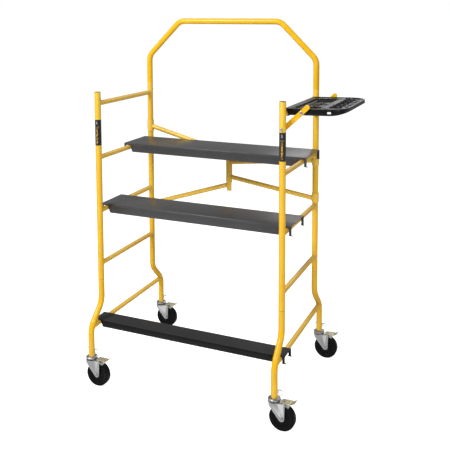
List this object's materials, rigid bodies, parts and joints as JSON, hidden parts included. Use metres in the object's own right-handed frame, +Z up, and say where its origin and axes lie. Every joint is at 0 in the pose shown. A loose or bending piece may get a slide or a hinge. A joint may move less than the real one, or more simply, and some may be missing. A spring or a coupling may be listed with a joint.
{
  "type": "baker scaffold",
  "caption": "Folding steel baker scaffold with hook-on decks, bi-fold rear brace, plug-in guard rail, fold-down tool tray and locking swivel casters.",
  "frame": {"origin": "on the floor, under the middle of the whole object's box", "axes": "+X along the decks towards the tool tray, +Y towards the guard rail side, +Z up"},
  "size_m": [1.3228, 0.812, 1.8959],
  "materials": {
    "yellow_paint": "glossy powder coat, safety yellow",
    "deck_coat": "satin charcoal powder coat on sheet steel",
    "step_coat": "satin black powder coat on sheet steel",
    "tray_plastic": "fine-textured black moulding",
    "zinc_plate": "bright zinc plate",
    "yellow_zinc": "yellow passivated zinc plate",
    "bearing_steel": "greased bearing steel",
    "wheel_rubber": "hard black rubber",
    "label_film": "printed vinyl wrap with a plain stripe pattern"
  },
  "bodies": {
    "frame": {"front_left_post": "yellow_paint", "rear_left_post": "yellow_paint", "left_rungs": "yellow_paint", "front_right_post": "yellow_paint", "rear_right_post": "yellow_paint", "right_rungs": "yellow_paint", "left_brace_sleeves": "yellow_paint", "left_brace_bars": "yellow_paint", "hinge_tube": "yellow_paint", "right_brace_sleeves": "yellow_paint", "right_brace_bars": "yellow_paint", "hinge_barrel": "yellow_paint", "guard_rail": "yellow_paint", "left_button_spring": "zinc_plate", "right_button_spring": "zinc_plate", "tray_pivot_bolts": "zinc_plate", "left_wrap_label": "label_film", "right_wrap_label": "label_film", "front_left_caster_stem": "zinc_plate", "front_right_caster_stem": "zinc_plate", "rear_left_caster_stem": "zinc_plate", "rear_right_caster_stem": "zinc_plate"},
    "left_snap_button": {"left_button": "zinc_plate"},
    "right_snap_button": {"right_button": "zinc_plate"},
    "upper_deck": {"top_deck": "deck_coat"},
    "lower_deck": {"middle_deck": "deck_coat"},
    "foot_step": {"bottom_step": "step_coat"},
    "tray": {"tool_tray": "tray_plastic", "front_tray_arm": "yellow_paint", "rear_tray_arm": "yellow_paint", "tray_bolts": "zinc_plate"},
    "front_left_swivel": {"front_left_caster_balls": "bearing_steel", "front_left_caster_fork": "zinc_plate", "front_left_caster_shoe": "zinc_plate", "front_left_caster_axle": "zinc_plate"},
    "front_left_wheel": {"front_left_caster_wheel": "wheel_rubber"},
    "front_left_brake": {"front_left_caster_pedal": "yellow_zinc"},
    "front_left_lock": {"front_left_caster_pin": "zinc_plate"},
    "front_right_swivel": {"front_right_caster_balls": "bearing_steel", "front_right_caster_fork": "zinc_plate", "front_right_caster_shoe": "zinc_plate", "front_right_caster_axle": "zinc_plate"},
    "front_right_wheel": {"front_right_caster_wheel": "wheel_rubber"},
    "front_right_brake": {"front_right_caster_pedal": "yellow_zinc"},
    "front_right_lock": {"front_right_caster_pin": "zinc_plate"},
    "rear_left_swivel": {"rear_left_caster_balls": "bearing_steel", "rear_left_caster_fork": "zinc_plate", "rear_left_caster_shoe": "zinc_plate", "rear_left_caster_axle": "zinc_plate"},
    "rear_left_wheel": {"rear_left_caster_wheel": "wheel_rubber"},
    "rear_left_brake": {"rear_left_caster_pedal": "yellow_zinc"},
    "rear_left_lock": {"rear_left_caster_pin": "zinc_plate"},
    "rear_right_swivel": {"rear_right_caster_balls": "bearing_steel", "rear_right_caster_fork": "zinc_plate", "rear_right_caster_shoe": "zinc_plate", "rear_right_caster_axle": "zinc_plate"},
    "rear_right_wheel": {"rear_right_caster_wheel": "wheel_rubber"},
    "rear_right_brake": {"rear_right_caster_pedal": "yellow_zinc"},
    "rear_right_lock": {"rear_right_caster_pin": "zinc_plate"}
  },
  "joints": [
    {"name": "left_button_press", "type": "slide", "parent": "frame", "child": "left_snap_button", "axis": [-1, 0, 0], "range_m": [0, 0.0054]},
    {"name": "right_button_press", "type": "slide", "parent": "frame", "child": "right_snap_button", "axis": [1, 0, 0], "range_m": [0, 0.0054]},
    {"name": "top_deck_lift", "type": "slide", "parent": "frame", "child": "upper_deck", "axis": [0, 0, 1], "range_m": [0, 0.06]},
    {"name": "middle_deck_lift", "type": "slide", "parent": "frame", "child": "lower_deck", "axis": [0, 0, 1], "range_m": [0, 0.06]},
    {"name": "bottom_step_lift", "type": "slide", "parent": "frame", "child": "foot_step", "axis": [0, 0, 1], "range_m": [0, 0.034]},
    {"name": "tray_fold", "type": "hinge", "parent": "frame", "child": "tray", "pos_m": [0.37662, 0, 1.394], "axis": [0, 1, 0], "range_deg": [0, 90]},
    {"name": "front_left_swivel_turn", "type": "hinge", "parent": "frame", "child": "front_left_swivel", "pos_m": [-0.63138, -0.376, 0.134], "axis": [0, 0, 1], "continuous": true},
    {"name": "front_left_wheel_spin", "type": "hinge", "parent": "front_left_swivel", "child": "front_left_wheel", "pos_m": [-0.59037, -0.376, 0.0635], "axis": [0, 1, 0], "continuous": true},
    {"name": "front_left_pedal_press", "type": "hinge", "parent": "front_left_swivel", "child": "front_left_brake", "pos_m": [-0.57937, -0.376, 0.135], "axis": [0, 1, 0], "range_deg": [0, 12]},
    {"name": "front_left_pin_pull", "type": "slide", "parent": "frame", "child": "front_left_lock", "axis": [1, 0, 0], "range_m": [0, 0.05]},
    {"name": "front_right_swivel_turn", "type": "hinge", "parent": "frame", "child": "front_right_swivel", "pos_m": [0.37662, -0.376, 0.134], "axis": [0, 0, 1], "continuous": true},
    {"name": "front_right_wheel_spin", "type": "hinge", "parent": "front_right_swivel", "child": "front_right_wheel", "pos_m": [0.41763, -0.376, 0.0635], "axis": [0, 1, 0], "continuous": true},
    {"name": "front_right_pedal_press", "type": "hinge", "parent": "front_right_swivel", "child": "front_right_brake", "pos_m": [0.42862, -0.376, 0.135], "axis": [0, 1, 0], "range_deg": [0, 12]},
    {"name": "front_right_pin_pull", "type": "slide", "parent": "frame", "child": "front_right_lock", "axis": [1, 0, 0], "range_m": [0, 0.05]},
    {"name": "rear_left_swivel_turn", "type": "hinge", "parent": "frame", "child": "rear_left_swivel", "pos_m": [-0.63138, 0.376, 0.134], "axis": [0, 0, 1], "continuous": true},
    {"name": "rear_left_wheel_spin", "type": "hinge", "parent": "rear_left_swivel", "child": "rear_left_wheel", "pos_m": [-0.59037, 0.376, 0.0635], "axis": [0, 1, 0], "continuous": true},
    {"name": "rear_left_pedal_press", "type": "hinge", "parent": "rear_left_swivel", "child": "rear_left_brake", "pos_m": [-0.57937, 0.376, 0.135], "axis": [0, 1, 0], "range_deg": [0, 12]},
    {"name": "rear_left_pin_pull", "type": "slide", "parent": "frame", "child": "rear_left_lock", "axis": [1, 0, 0], "range_m": [0, 0.05]},
    {"name": "rear_right_swivel_turn", "type": "hinge", "parent": "frame", "child": "rear_right_swivel", "pos_m": [0.37662, 0.376, 0.134], "axis": [0, 0, 1], "continuous": true},
    {"name": "rear_right_wheel_spin", "type": "hinge", "parent": "rear_right_swivel", "child": "rear_right_wheel", "pos_m": [0.41763, 0.376, 0.0635], "axis": [0, 1, 0], "continuous": true},
    {"name": "rear_right_pedal_press", "type": "hinge", "parent": "rear_right_swivel", "child": "rear_right_brake", "pos_m": [0.42862, 0.376, 0.135], "axis": [0, 1, 0], "range_deg": [0, 12]},
    {"name": "rear_right_pin_pull", "type": "slide", "parent": "frame", "child": "rear_right_lock", "axis": [1, 0, 0], "range_m": [0, 0.05]}
  ]
}
